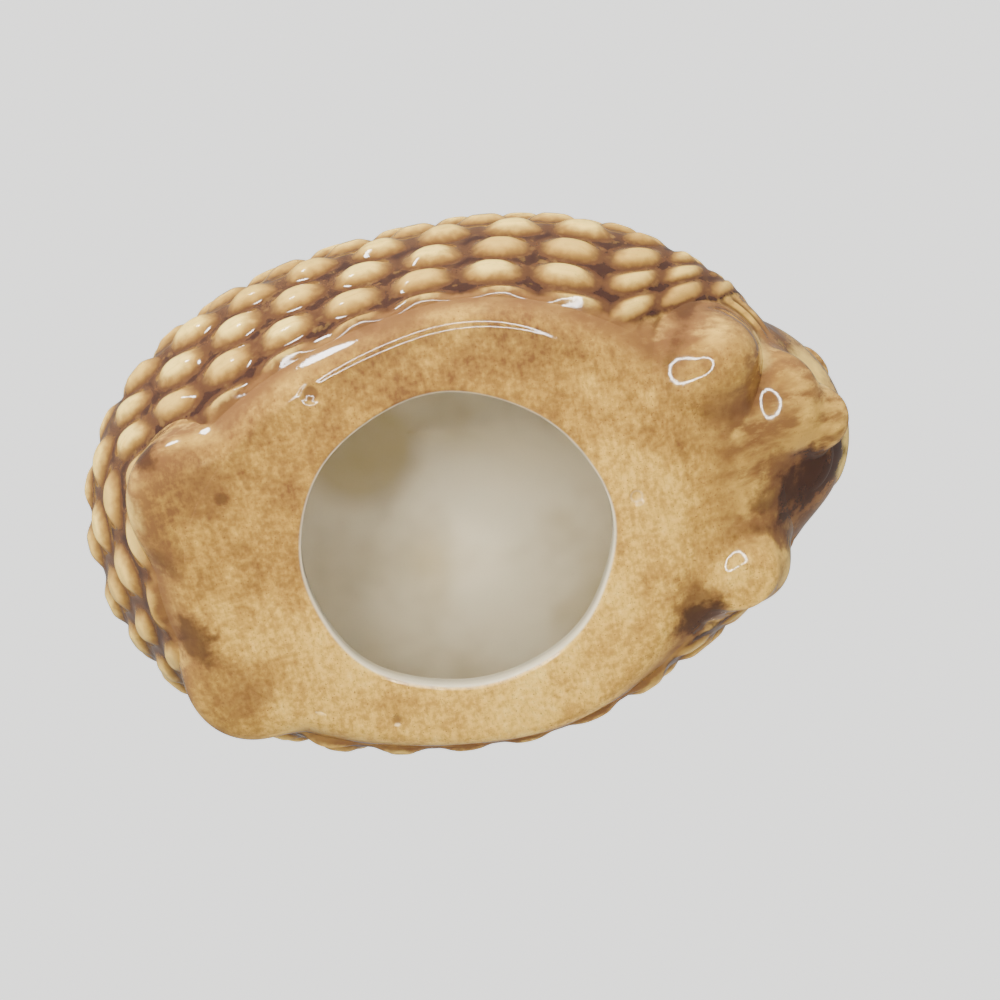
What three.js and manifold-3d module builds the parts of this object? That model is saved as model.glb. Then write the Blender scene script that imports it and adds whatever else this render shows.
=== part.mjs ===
// A feeding quail in glazed slip-cast ceramic: a hollow egg-shaped body on a flat oval foot with a round vent,
// covered in rings of raised oval feather scales, with a low head between two smooth feet.
// Millimetres. +X is the head end, +Y the bird's left and +Z up. The foot rests on z = 0, and the origin lies
// under the middle of the whole figure.
import * as THREE from "three";
import { mergeVertices } from "three/addons/utils/BufferGeometryUtils.js";
import Module from "manifold-3d";

// The vent in the foot. Every plan outline is measured from its centre.
const VENT_X = -3.9;
const VENT_RADIUS = 27.3;
const VENT_LIP = 0.9; // rounding of the vent's two edges

// The flat foot.
const BASE_THICKNESS = 4;
const BASE_FRONT = 41;
const BASE_REAR = 49;
const BASE_HALF_WIDTH = 39.6;
const BASE_TAPER = 0.13; // how much wider the outline is towards the head than towards the tail
const BASE_FRONT_POWER = 2;
const BASE_REAR_POWER = 2.2;

// The hollow body, without its feathers.
const BODY_FRONT = 68.7;
const BODY_REAR = 67.8;
const BODY_HALF_WIDTH = 48.9;
const BODY_TAPER = 0.015;
const BODY_FRONT_POWER = 2.23;
const BODY_REAR_POWER = 2.3;
const BODY_HEIGHT = 80;
const GIRTH_HEIGHT = 29; // where the flanks are widest
const BREAST_HEIGHT = 19; // where the breast reaches furthest forward
const CREST_BACK = 7.6; // how far the top of the back lies behind the vent's centre
const LOWER_POWER = 1.18; // under the girth: 1 is a straight flare, 2 an ellipse
const THROAT_POWER = 1.6; // the same under the breast
const UPPER_POWER = 2.22; // over the girth, at the flanks and the rump
const NECK_POWER = 1.2; // over the breast, where the neck slopes back
const BREAST_FOCUS = 5; // how narrow the breast is: higher is narrower
const WALL = 4.2;

// The feather scales.
const ROW_COUNT = 12;
const SCALE_LENGTH = 12.4; // along the ring
const SCALE_RISE = 1.6; // crown over the body
const SCALE_WEB = 0.12; // share of the rise that is left between two scales of a ring
const SCALE_CROWN = 0.5; // share of a scale's length and width that its crown takes up
const ROW_GAP = 0.7; // groove between two rows
const CROWN_RADIUS = 5; // the last scale, on top of the back
const FRINGE_HEIGHT = 7.2; // lower edge of the feathers, at the flanks
const FACE_HEIGHT = 43; // lower edge of the feathers, over the face
const FACE_SPREAD = THREE.MathUtils.degToRad(48); // azimuth at which the edge starts to climb to the face
const FACE_POWER = 1.7;
const FACE_REACH = 0.8; // share of the height up to which the rows bend over the face
const FACE_FADE = 1.4; // how soon they straighten on the way there: 1 evenly, higher sooner

// The head, an egg that droops to the beak. The beak and the eyes are placed in its own frame.
const HEAD_SINK = 17.5; // how far the head's centre lies inside the breast
const HEAD_HEIGHT = 29;
const HEAD_SIZE = new THREE.Vector3(26.6, 23.9, 19); // half sizes along, across and up
const HEAD_DROOP = THREE.MathUtils.degToRad(21.7);
const HEAD_TURN = THREE.MathUtils.degToRad(15); // to the bird's left
const UPPER_BEAK_AT = new THREE.Vector3(23.5, 0, 2.5);
const UPPER_BEAK_SIZE = new THREE.Vector3(8, 9.5, 7);
const UPPER_BEAK_RISE = 0.9; // over the head's surface
const LOWER_BEAK_AT = new THREE.Vector3(18.5, 0, -10.5);
const LOWER_BEAK_SIZE = new THREE.Vector3(9.5, 8.5, 7.5);
const LOWER_BEAK_RISE = 0.3;
const EYE_FORWARD = 18;
const EYE_UP = 8.5;
const EYE_RADIUS = 3.6;
const EYE_SINK = 2.2; // how far an eye's centre lies under the head's surface

// The feet and the rear lobes: rounded lumps against the base's edge, one pair of each.
const FOOT_OVERHANG = 8.1; // of a foot's centre, ahead of the base
const FOOT_SPREAD = 0.477; // of a foot's centre, as a share of the base's half width
const FOOT_TURN = THREE.MathUtils.degToRad(21);
const FOOT_SIZE = new THREE.Vector3(10.2, 8.5, 8.4); // half sizes outward, sideways and up
const FOOT_CLEARANCE = 0.8; // under the lump
const LOBE_INSET = 4.8; // of a lobe's centre, ahead of the base's rear end
const LOBE_SPREAD = 0.474;
const LOBE_TURN = THREE.MathUtils.degToRad(157);
const LOBE_SIZE = new THREE.Vector3(9, 10, 7);
const LOBE_CLEARANCE = 0.5;
const LOBE_RISE = 8; // how far the feathers' lower edge lifts over a lobe
const LOBE_REACH = THREE.MathUtils.degToRad(13); // how far round the body it does so

const SEAT_GAP = 0.5; // between a piece and what it sits on

// Fineness of the faceted surfaces.
const BODY_SIDES = 40;
const BODY_RINGS = 11;
const ROOM_SIDES = 72;
const ROOM_RINGS = 23;
const HEAD_SIDES = [24, 14];
const LUMP_SIDES = [18, 11];
const EYE_SIDES = [12, 8];
const CURVE_STEPS = 240; // steps for measuring a length along a curve
const MERGE_DISTANCE = 1e-4;

const wasm = await Module();
wasm.setup();

const BASE_PLAN = {
  front: BASE_FRONT,
  rear: BASE_REAR,
  halfWidth: BASE_HALF_WIDTH,
  taper: BASE_TAPER,
  frontPower: BASE_FRONT_POWER,
  rearPower: BASE_REAR_POWER,
};
const BODY_PLAN = {
  front: BODY_FRONT,
  rear: BODY_REAR,
  halfWidth: BODY_HALF_WIDTH,
  taper: BODY_TAPER,
  frontPower: BODY_FRONT_POWER,
  rearPower: BODY_REAR_POWER,
};

// Distance from the vent's centre to a plan outline, grown by an offset: a superellipse tapered to the tail.
function outlineRadius(plan, azimuth, offset) {
  const forward = Math.cos(azimuth);
  const sideways = Math.sin(azimuth);
  const length = (forward > 0 ? plan.front : plan.rear) + offset;
  const width = plan.halfWidth * (1 + plan.taper * forward) + offset;
  const power = forward > 0 ? plan.frontPower : plan.rearPower;
  const sum = (Math.abs(forward) / length) ** power + (Math.abs(sideways) / width) ** power;
  return sum ** (-1 / power);
}

// The section of the body at an azimuth: the height of its widest point, and its roundness under and over that.
function bodySection(azimuth) {
  const breast = Math.max(Math.cos(azimuth), 0) ** BREAST_FOCUS;
  return {
    girth: GIRTH_HEIGHT + (BREAST_HEIGHT - GIRTH_HEIGHT) * breast,
    lower: LOWER_POWER + (THROAT_POWER - LOWER_POWER) * breast,
    upper: UPPER_POWER + (NECK_POWER - UPPER_POWER) * breast,
  };
}

// A point of the body's surface, grown by an offset. Lift runs from -90 degrees at the foot's edge, through 0 at
// the girth, to 90 degrees on top of the back.
function bodyPoint(azimuth, lift, offset) {
  const section = bodySection(azimuth);
  const widest = outlineRadius(BODY_PLAN, azimuth, offset);
  const power = 2 / (lift < 0 ? section.lower : section.upper);
  const out = Math.max(Math.cos(lift), 0) ** power;
  const climb = Math.abs(Math.sin(lift)) ** power;
  let radius = widest * out;
  let z = section.girth + (BODY_HEIGHT + offset - section.girth) * climb;
  let back = CREST_BACK * climb ** 2;
  if (lift < 0) {
    const base = outlineRadius(BASE_PLAN, azimuth, offset);
    radius = base + (widest - base) * out;
    z = section.girth * (1 - climb);
    back = 0;
  }
  return new THREE.Vector3(VENT_X - back + radius * Math.cos(azimuth), radius * Math.sin(azimuth), z);
}

// The lift at which the body reaches a height.
function liftAtHeight(azimuth, z) {
  const { girth, lower, upper } = bodySection(azimuth);
  if (z < girth) {
    return -Math.asin((1 - z / girth) ** (lower / 2));
  }
  return Math.asin(((z - girth) / (BODY_HEIGHT - girth)) ** (upper / 2));
}

// Lengths along a curve at even steps of its parameter.
function runningLengths(pointAt) {
  const lengths = [0];
  let last = pointAt(0);
  for (let step = 1; step <= CURVE_STEPS; step++) {
    const next = pointAt(step / CURVE_STEPS);
    lengths.push(lengths[step - 1] + next.distanceTo(last));
    last = next;
  }
  return lengths;
}

// The parameter of a curve at a length along it.
function parameterAt(lengths, length) {
  let step = 1;
  while (step < CURVE_STEPS && lengths[step] < length) step++;
  const part = (length - lengths[step - 1]) / (lengths[step] - lengths[step - 1]);
  return (step - 1 + part) / CURVE_STEPS;
}

// The flank's curve from the foot's edge to the top of the back sets how the rows share the height.
const flankLift = (share) => (share - 0.5) * Math.PI;
const flankLengths = runningLengths((share) => bodyPoint(Math.PI / 2, flankLift(share), 0));
const FLANK_LENGTH = flankLengths[CURVE_STEPS];
const liftAtLength = (length) => flankLift(parameterAt(flankLengths, length));

function lengthAtLift(lift) {
  const place = (lift / Math.PI + 0.5) * CURVE_STEPS;
  const step = Math.min(Math.floor(place), CURVE_STEPS - 1);
  return flankLengths[step] + (flankLengths[step + 1] - flankLengths[step]) * (place - step);
}

// How close an azimuth is to the face: 1 straight ahead, 0 from the edge of the face backwards.
function faceShare(azimuth) {
  const turned = Math.abs(Math.atan2(Math.sin(azimuth), Math.cos(azimuth)));
  return Math.cos((Math.min(turned / FACE_SPREAD, 1) * Math.PI) / 2) ** FACE_POWER;
}

// The lower edge of the feathers: level along the flanks, lifted over the rear lobes and over the face.
function fringeLength(azimuth) {
  const turned = Math.abs(Math.atan2(Math.sin(azimuth), Math.cos(azimuth)));
  const lobe = Math.exp(-(((turned - LOBE_TURN) / LOBE_REACH) ** 2));
  const rise = (FACE_HEIGHT - FRINGE_HEIGHT) * faceShare(azimuth) + LOBE_RISE * lobe;
  return lengthAtLift(liftAtHeight(azimuth, FRINGE_HEIGHT + rise));
}

// The length up the flank of a line between the fringe, at 0, and the last scale on top, at 1. The lines crowd
// together over the face and the lobes, and run level near the top.
const LEVEL_FRINGE = fringeLength(Math.PI / 2);
function featherLength(azimuth, share) {
  const level = LEVEL_FRINGE + (FLANK_LENGTH - CROWN_RADIUS - LEVEL_FRINGE) * share;
  const bend = Math.max(1 - share / FACE_REACH, 0) ** FACE_FADE;
  return level + (fringeLength(azimuth) - LEVEL_FRINGE) * bend;
}

// A point on the skin of a feather row: at runs from -1 on its lower edge to 1 on its upper edge.
function rowPoint(row, azimuth, at, offset) {
  const low = featherLength(azimuth, row / ROW_COUNT) + ROW_GAP / 2;
  const high = featherLength(azimuth, (row + 1) / ROW_COUNT) - ROW_GAP / 2;
  return bodyPoint(azimuth, liftAtLength(THREE.MathUtils.mapLinear(at, -1, 1, low, high)), offset);
}

// The lengths along the middle of a feather row, starting behind the tail, and the azimuth at a part of the turn.
const turnAzimuth = (part) => Math.PI * (2 * part + 1);
const rowLengths = (row) => runningLengths((part) => rowPoint(row, turnAzimuth(part), 0, 0));

const evenTurn = (sides) => Array.from({ length: sides }, (_, i) => (2 * Math.PI * i) / sides);

// A closed geometry: only positions, shared vertices merged, collapsed triangles dropped.
function sealed(geometry) {
  const bare = new THREE.BufferGeometry();
  bare.setAttribute("position", geometry.getAttribute("position"));
  bare.setIndex(geometry.getIndex());
  const merged = mergeVertices(bare, MERGE_DISTANCE);
  const corners = merged.getIndex().array;
  const kept = [];
  for (let i = 0; i < corners.length; i += 3) {
    const [a, b, c] = corners.slice(i, i + 3);
    if (a !== b && b !== c && c !== a) kept.push(a, b, c);
  }
  merged.setIndex(kept);
  return merged;
}

// A closed skin over rings of points, listed once round the section of the body. Each patch between two rings is
// split along its first diagonal, or along the other one where otherWay says so.
function ringBody(rings, otherWay = () => false) {
  const sides = rings[0].length;
  const corners = [];
  rings.forEach((_, r) => {
    for (let side = 0; side < sides; side++) {
      const near = r * sides;
      const far = ((r + 1) % rings.length) * sides;
      const next = (side + 1) % sides;
      const [a, b, c, d] = [near + side, near + next, far + next, far + side];
      corners.push(...(otherWay(r, side) ? [a, b, d, b, c, d] : [a, b, c, a, c, d]));
    }
  });
  const skin = new THREE.BufferGeometry().setFromPoints(rings.flat());
  skin.setIndex(corners);
  return sealed(skin);
}

function solidOf(geometry) {
  const triVerts = new Uint32Array(geometry.getIndex().array);
  const vertProperties = new Float32Array(geometry.getAttribute("position").array);
  return new wasm.Manifold(new wasm.Mesh({ numProp: 3, vertProperties, triVerts }));
}

function geometryOf(solid) {
  const mesh = solid.getMesh();
  const geometry = new THREE.BufferGeometry();
  geometry.setAttribute("position", new THREE.BufferAttribute(mesh.vertProperties, mesh.numProp));
  geometry.setIndex(new THREE.BufferAttribute(mesh.triVerts, 1));
  return geometry;
}

// What is left of a geometry after each cutter is taken away.
function cut(geometry, cutters) {
  const left = cutters.reduce((solid, cutter) => solid.subtract(solidOf(cutter)), solidOf(geometry));
  return geometryOf(left);
}

// What two geometries share.
function common(first, second) {
  return geometryOf(solidOf(first).intersect(solidOf(second)));
}

// An ellipsoid in a frame, grown by an offset.
function ellipsoid(centre, size, frame, sides, offset) {
  const sphere = new THREE.SphereGeometry(1, ...sides);
  sphere.scale(size.x + offset, size.y + offset, size.z + offset);
  sphere.translate(centre.x, centre.y, centre.z);
  return sealed(sphere.applyMatrix4(frame));
}

// The foot: flat below and above, rolled outside to meet the body, with a round-edged vent.
function basePlate() {
  const azimuths = evenTurn(BODY_SIDES);
  const ventRing = (radius, z) =>
    azimuths.map((a) => new THREE.Vector3(VENT_X + radius * Math.cos(a), radius * Math.sin(a), z));
  const rollSteps = [0, 0.3, 0.65, 1];
  const rolled = rollSteps.map((step) =>
    azimuths.map((a) => {
      const top = liftAtHeight(a, BASE_THICKNESS);
      return bodyPoint(a, -Math.PI / 2 + (top + Math.PI / 2) * step, 0);
    }),
  );
  return ringBody([
    ventRing(VENT_RADIUS + VENT_LIP, 0),
    ...rolled,
    ventRing(VENT_RADIUS + VENT_LIP, BASE_THICKNESS),
    ventRing(VENT_RADIUS, BASE_THICKNESS - VENT_LIP),
    ventRing(VENT_RADIUS, VENT_LIP),
  ]);
}

// The hollow body over the foot: the outer skin up to the crest, and the inner skin down again.
function bodyShell() {
  const azimuths = evenTurn(BODY_SIDES);
  const steps = Array.from({ length: BODY_RINGS }, (_, i) => i / (BODY_RINGS - 1));
  const ring = (step, offset) =>
    azimuths.map((a) => {
      const bottom = liftAtHeight(a, BASE_THICKNESS);
      return bodyPoint(a, bottom + (Math.PI / 2 - bottom) * step, offset);
    });
  const outer = steps.map((step) => ring(step, 0));
  const inner = steps.map((step) => ring(step, -WALL));
  return ringBody([...outer, ...inner.reverse()]);
}

// The lines that shape a scale: where they lie from -1 to 1, and their share of the rise. Along the ring, the last
// line is the next scale's first.
const SCALE_ALONG = [
  { at: -1, rise: SCALE_WEB },
  { at: -SCALE_CROWN, rise: 1 },
  { at: SCALE_CROWN, rise: 1 },
];
const SCALE_ACROSS = [
  { at: -1, rise: 0 },
  { at: -SCALE_CROWN, rise: 1 },
  { at: SCALE_CROWN, rise: 1 },
  { at: 1, rise: 0 },
];

// One ring of scales, staggered against the ring below it.
function featherRow(row) {
  const lengths = rowLengths(row);
  const scales = Math.max(Math.round(lengths[CURVE_STEPS] / SCALE_LENGTH), 3);
  const scaleLength = lengths[CURVE_STEPS] / scales;
  const lines = Array.from({ length: scales }, (_, scale) =>
    SCALE_ALONG.map(({ at, rise }) => {
      const along = (scale + (at + 1) / 2 + (row % 2) / 2) % scales;
      return { azimuth: turnAzimuth(parameterAt(lengths, along * scaleLength)), rise };
    }),
  ).flat();
  const ring = (at, rise) =>
    lines.map((line) => rowPoint(row, line.azimuth, at, SEAT_GAP + SCALE_RISE * rise * line.rise));
  const outer = SCALE_ACROSS.map(({ at, rise }) => ring(at, rise));
  const inner = ring(0, 0);
  const rising = (ringNumber) => ringNumber < SCALE_ACROSS.length / 2;
  const opening = (side) => side % SCALE_ALONG.length < SCALE_ALONG.length / 2;
  return ringBody([...outer, inner], (ringNumber, side) => rising(ringNumber) === opening(side));
}

// The round scale that closes the last ring.
function crownFeather() {
  const azimuths = evenTurn(BODY_SIDES / 2);
  const edge = FLANK_LENGTH - CROWN_RADIUS + ROW_GAP;
  const ring = (at, rise) => {
    const lift = liftAtLength(FLANK_LENGTH + (edge - FLANK_LENGTH) * at);
    return azimuths.map((a) => bodyPoint(a, lift, SEAT_GAP + SCALE_RISE * rise));
  };
  return ringBody([ring(0, 0), ring(1, 0), ring(SCALE_CROWN, 1), ring(0, 1)]);
}

// The room that the foot and the body take up, with the seat's gap round it.
function bodyRoom() {
  const azimuths = evenTurn(ROOM_SIDES);
  const lifts = Array.from({ length: ROOM_RINGS }, (_, i) => (i / (ROOM_RINGS - 1) - 0.5) * Math.PI);
  const floor = azimuths.map(() => new THREE.Vector3(VENT_X, 0, 0));
  return ringBody([floor, ...lifts.map((lift) => azimuths.map((a) => bodyPoint(a, lift, SEAT_GAP)))]);
}

// The room that the feathers take up, with the seat's gap round it. Its inside lies in the body's room.
function featherRoom() {
  const azimuths = evenTurn(ROOM_SIDES);
  const shares = Array.from({ length: ROW_COUNT }, (_, i) => i / ROW_COUNT);
  const fringe = (a) => liftAtLength(fringeLength(a) - SEAT_GAP);
  const ring = (liftAt, offset) => azimuths.map((a) => bodyPoint(a, liftAt(a), offset));
  const outside = SEAT_GAP * 2 + SCALE_RISE;
  return ringBody([
    ring(() => Math.PI / 2, -WALL),
    ring(fringe, -WALL),
    ring(fringe, outside),
    ...shares.slice(1).map((share) => ring((a) => liftAtLength(featherLength(a, share)), outside)),
    ring(() => Math.PI / 2, outside),
  ]);
}

const headFrame = new THREE.Matrix4().compose(
  new THREE.Vector3(VENT_X + BODY_FRONT - HEAD_SINK, 0, HEAD_HEIGHT),
  new THREE.Quaternion().setFromEuler(new THREE.Euler(0, HEAD_DROOP, HEAD_TURN, "ZYX")),
  new THREE.Vector3(1, 1, 1),
);

// An eye is a ball sunk into the head's surface, so that a low dome stands out.
function eyeCentre(side) {
  const left = 1 - (EYE_FORWARD / HEAD_SIZE.x) ** 2 - (EYE_UP / HEAD_SIZE.z) ** 2;
  const surface = new THREE.Vector3(EYE_FORWARD, side * HEAD_SIZE.y * Math.sqrt(left), EYE_UP);
  const inward = surface.clone().divide(HEAD_SIZE).divide(HEAD_SIZE).normalize().negate();
  return surface.addScaledVector(inward, EYE_SINK);
}

// The frame of a lump against the base's edge: its own x runs outward.
function lumpFrame(forward, sideways, turn, size, clearance) {
  const place = new THREE.Vector3(VENT_X + forward, sideways, size.z + clearance);
  const outward = new THREE.Quaternion().setFromAxisAngle(new THREE.Vector3(0, 0, 1), turn);
  return new THREE.Matrix4().compose(place, outward, new THREE.Vector3(1, 1, 1));
}

function footFrame(side) {
  const sideways = side * BASE_HALF_WIDTH * FOOT_SPREAD;
  return lumpFrame(BASE_FRONT + FOOT_OVERHANG, sideways, side * FOOT_TURN, FOOT_SIZE, FOOT_CLEARANCE);
}

function lobeFrame(side) {
  const sideways = side * BASE_HALF_WIDTH * LOBE_SPREAD;
  return lumpFrame(LOBE_INSET - BASE_REAR, sideways, side * LOBE_TURN, LOBE_SIZE, LOBE_CLEARANCE);
}

const ORIGIN = new THREE.Vector3();
const EYE_SIZE = new THREE.Vector3(EYE_RADIUS, EYE_RADIUS, EYE_RADIUS);
const foot = (side, offset) => ellipsoid(ORIGIN, FOOT_SIZE, footFrame(side), LUMP_SIDES, offset);
const lobe = (side, offset) => ellipsoid(ORIGIN, LOBE_SIZE, lobeFrame(side), LUMP_SIDES, offset);
const eye = (side, offset) => ellipsoid(eyeCentre(side), EYE_SIZE, headFrame, EYE_SIDES, offset);
const wholeHead = (offset) => ellipsoid(ORIGIN, HEAD_SIZE, headFrame, HEAD_SIDES, offset);

// One half of the beak: the part of the head's skin, grown by its rise, that an ellipsoid takes out.
const upperBite = (offset) => ellipsoid(UPPER_BEAK_AT, UPPER_BEAK_SIZE, headFrame, LUMP_SIDES, offset);
const lowerBite = (offset) => ellipsoid(LOWER_BEAK_AT, LOWER_BEAK_SIZE, headFrame, LUMP_SIDES, offset);
const upperBeak = () => common(upperBite(0), wholeHead(UPPER_BEAK_RISE));
const lowerBeak = () => common(lowerBite(0), wholeHead(LOWER_BEAK_RISE));

const glaze = (color, roughness) => new THREE.MeshStandardMaterial({ color, roughness, metalness: 0 });
const BASE_GLAZE = glaze(0xc8a05f, 0.25);
const BODY_GLAZE = glaze(0x8a6038, 0.2);
const FEATHER_GLAZE = glaze(0xdcb982, 0.2);
const HEAD_GLAZE = glaze(0xa8733c, 0.2);
const FOOT_GLAZE = glaze(0xc09a60, 0.2);
const BEAK_GLAZE = glaze(0x4f372c, 0.2);
const EYE_GLAZE = glaze(0x24180f, 0.12);

function piece(name, geometry, material) {
  const mesh = new THREE.Mesh(geometry, material);
  mesh.name = name;
  return mesh;
}

const LEFT = 1;
const RIGHT = -1;
const rooms = [bodyRoom(), featherRoom()];

const body = new THREE.Group();
body.add(piece("base_plate", basePlate(), BASE_GLAZE));
body.add(piece("body_shell", bodyShell(), BODY_GLAZE));

const feathers = new THREE.Group();
for (let row = 0; row < ROW_COUNT; row++) {
  const number = String(row + 1).padStart(2, "0");
  feathers.add(piece(`feather_row_${number}`, featherRow(row), FEATHER_GLAZE));
}
feathers.add(piece("crown_feather", crownFeather(), FEATHER_GLAZE));

const lumps = new THREE.Group();
lumps.add(piece("left_foot", cut(foot(LEFT, 0), rooms), FOOT_GLAZE));
lumps.add(piece("right_foot", cut(foot(RIGHT, 0), rooms), FOOT_GLAZE));
lumps.add(piece("left_rear_lobe", cut(lobe(LEFT, 0), rooms), BASE_GLAZE));
lumps.add(piece("right_rear_lobe", cut(lobe(RIGHT, 0), rooms), BASE_GLAZE));

const face = new THREE.Group();
const headNeighbours = [
  ...rooms,
  foot(LEFT, SEAT_GAP),
  foot(RIGHT, SEAT_GAP),
  eye(LEFT, SEAT_GAP),
  eye(RIGHT, SEAT_GAP),
  upperBite(SEAT_GAP),
  lowerBite(SEAT_GAP),
];
face.add(piece("head", cut(wholeHead(0), headNeighbours), HEAD_GLAZE));
face.add(piece("upper_beak", cut(upperBeak(), [lowerBite(SEAT_GAP), ...rooms]), HEAD_GLAZE));
face.add(piece("lower_beak", cut(lowerBeak(), rooms), BEAK_GLAZE));
face.add(piece("left_eye", cut(eye(LEFT, 0), rooms), EYE_GLAZE));
face.add(piece("right_eye", cut(eye(RIGHT, 0), rooms), EYE_GLAZE));

const quail = new THREE.Group();
quail.add(body, feathers, lumps, face);

export default quail;
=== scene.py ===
"""The looks of a glazed ceramic quail: feathers, glaze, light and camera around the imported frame.

Lengths are written in millimetres in the part's own frame: +X is the head end, +Y the bird's left, +Z up.
"""

import math

import bpy
import numpy as np
import openvdb
from mathutils import Matrix, Vector


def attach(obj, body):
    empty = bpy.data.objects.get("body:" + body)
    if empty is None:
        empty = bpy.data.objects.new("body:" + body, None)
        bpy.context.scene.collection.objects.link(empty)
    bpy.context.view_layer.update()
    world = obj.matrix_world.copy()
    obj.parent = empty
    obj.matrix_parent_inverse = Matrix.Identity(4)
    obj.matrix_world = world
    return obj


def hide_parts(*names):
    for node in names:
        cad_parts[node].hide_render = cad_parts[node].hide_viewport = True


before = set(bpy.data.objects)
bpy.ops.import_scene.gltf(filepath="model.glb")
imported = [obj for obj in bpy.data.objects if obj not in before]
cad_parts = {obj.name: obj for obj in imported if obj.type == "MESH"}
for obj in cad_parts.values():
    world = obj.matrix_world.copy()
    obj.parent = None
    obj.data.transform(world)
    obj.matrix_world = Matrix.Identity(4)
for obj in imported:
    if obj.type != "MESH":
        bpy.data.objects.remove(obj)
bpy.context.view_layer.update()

MM = 0.001
SEED = 7

# The vent and the foot.
VENT_X = -3.9
VENT_RADIUS = 27.3
VENT_LIP = 0.9
# Lobes, amplitude and phase of the vent's hand-cut edge.
VENT_WAVES = ((3, 0.22, 0.4), (5, 0.18, 2.1), (8, 0.12, 1.1))
VENT_STEPS = 6
BASE_THICKNESS = 4.0
ROLL_IN = 2.2  # how far in from its edge the foot starts to roll up
BASE_PLAN = {
    "front": 41.0,
    "rear": 49.0,
    "half_width": 39.6,
    "taper": 0.13,
    "front_power": 2.0,
    "rear_power": 2.2,
}

# The body.
BODY_PLAN = {
    "front": 68.7,
    "rear": 67.8,
    "half_width": 48.9,
    "taper": 0.015,
    "front_power": 2.23,
    "rear_power": 2.3,
}
BODY_HEIGHT = 80.0
GIRTH_HEIGHT = 29.0
BREAST_HEIGHT = 19.0
CREST_BACK = 7.6
LOWER_POWER = 1.18
THROAT_POWER = 1.6
UPPER_POWER = 2.22
NECK_POWER = 1.2
BREAST_FOCUS = 5
SLOPE_SHARE = 0.8  # how much of a level distance to the body counts, as its surface slopes
WALL = 4.2
WALL_WAVE = 0.12  # unevenness of the inner wall
CREST_START = 0.55  # where the coat begins to fill the hollow between the crest and the head
CREST_EVEN = 0.75
COAT_DEPTH = 0.5  # how far the feather coat reaches into the body's surface
SHELL_DEPTH = 0.7  # how far the shell's outer face lies under the body's surface
SHELL_END = 0.997  # where the shell's last rings stop short of the crest
COAT_END = 0.99

# The feather scales.
ROW_COUNT = 12
FIRST_ROW = -1  # a last, lower row that runs out into the foot
SKIRT_PITCH = 7.5
SKIRT_FADE = 1.5
SKIRT_LOW = 0.35
SCALE_LENGTH = 12.4
SCALE_RISE = 1.5
SCALE_SEAT = 0.5
SCALE_REACH = 1.08  # size of a scale's oval against its share of the ring
SCALE_POINT = 2.0  # 2 is an oval, less is more like a leaf
SCALE_SHOULDER = 0.62  # how far the rounded shoulder reaches in from the edge
GROOVE_HALF = 0.07  # half the width of the groove between two scales
GROOVE_REACH = 0.22  # how far a groove deepens away from the scales
SCALE_SHIFT = (0.14, 0.09)  # how unevenly scales sit along and across their ring
SCALE_STRETCH = (0.94, 1.06)
SCALE_BLEND = 0.1  # how softly the edges of two scales meet
SPOT_STEP = 9.0  # from one scale to the next in the grid that colours them
SPOT_ROW = 40  # more scales than any row has
CROWN_EDGE = 0.1  # of a row's width, the groove round the last scale on top
CROWN_SHOULDER = 0.4
ROW_FADE = 0.4  # of a row's width, how the lowest row runs out
CROWN_RADIUS = 5.0
FRINGE_HEIGHT = 7.2
FACE_HEIGHT = 43.0
FACE_SPREAD = math.radians(48)
FACE_POWER = 1.7
FACE_REACH = 0.8
FACE_FADE = 1.4
LOBE_RISE = 8.0
LOBE_REACH = math.radians(13)

# The head and the lumps.
HEAD_SINK = 17.5
HEAD_HEIGHT = 29.0
HEAD_SIZE = (26.6, 23.9, 19.0)
HEAD_DROOP = math.radians(21.7)
HEAD_TURN = math.radians(15)
# Halves of the beak: where on the head, how large, and how far out of the head's skin.
BEAKS = {
    "upper_beak": ((23.5, 0.0, 2.5), (8.0, 9.5, 7.0), 0.5),
    "lower_beak": ((18.5, 0.0, -10.5), (9.5, 8.5, 7.5), 0.2),
}
BEAK_ROUND = 3.0  # how softly the beak's edge is rounded
EYE_FORWARD = 18.0
EYE_UP = 8.5
EYE_RADIUS = 3.6
EYE_SINK = 2.2
LID_TUBE = 0.8
LID_FILLET = 1.2
FOOT_OVERHANG = 8.1
FOOT_SPREAD = 0.477
FOOT_TURN = math.radians(21)
FOOT_SIZE = (10.2, 8.5, 8.4)
FOOT_CLEARANCE = 0.8
LOBE_INSET = 4.8
LOBE_SPREAD = 0.474
LOBE_TURN = math.radians(157)
LOBE_SIZE = (9.5, 11.0, 8.0)
LOBE_SUNK = 2.5  # how far the whole lobe would reach under its flat underside
LOBE_ROUND = 4.0
HEAD_FILLET = 3.0  # how softly a form runs into the body
FOOT_FILLET = 6.0
LOBE_FILLET = 6.0
CREASE_REACH = 3.8
BAND_WIDTH = 3.0  # of the brown strip between the foot and the feathers
BAND_DEPTH = 2.0
BAND_CLEAR = 1.0  # how far the strip stays from the lumps
BAND_FADE = 4.0  # how softly it ends there, and how much farther it stays from the head
STRAND_WIDTH = 2.7  # from one fold of the breast feathers to the next
STRAND_START = 1.2  # how far from a foot the folds begin and end
STRAND_END = 9.5
STRAND_RISE = 0.3
FLANGE_DEPTH = 0.25  # how far a form's run-out dips under the body's surface
FLANGE_WALL = 2.5  # how far the form reaches into the body
FLANGE_SPARE = 1.0  # how far the run-out goes on past the fillet
FLANGE_BOTTOM = 0.08

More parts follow.
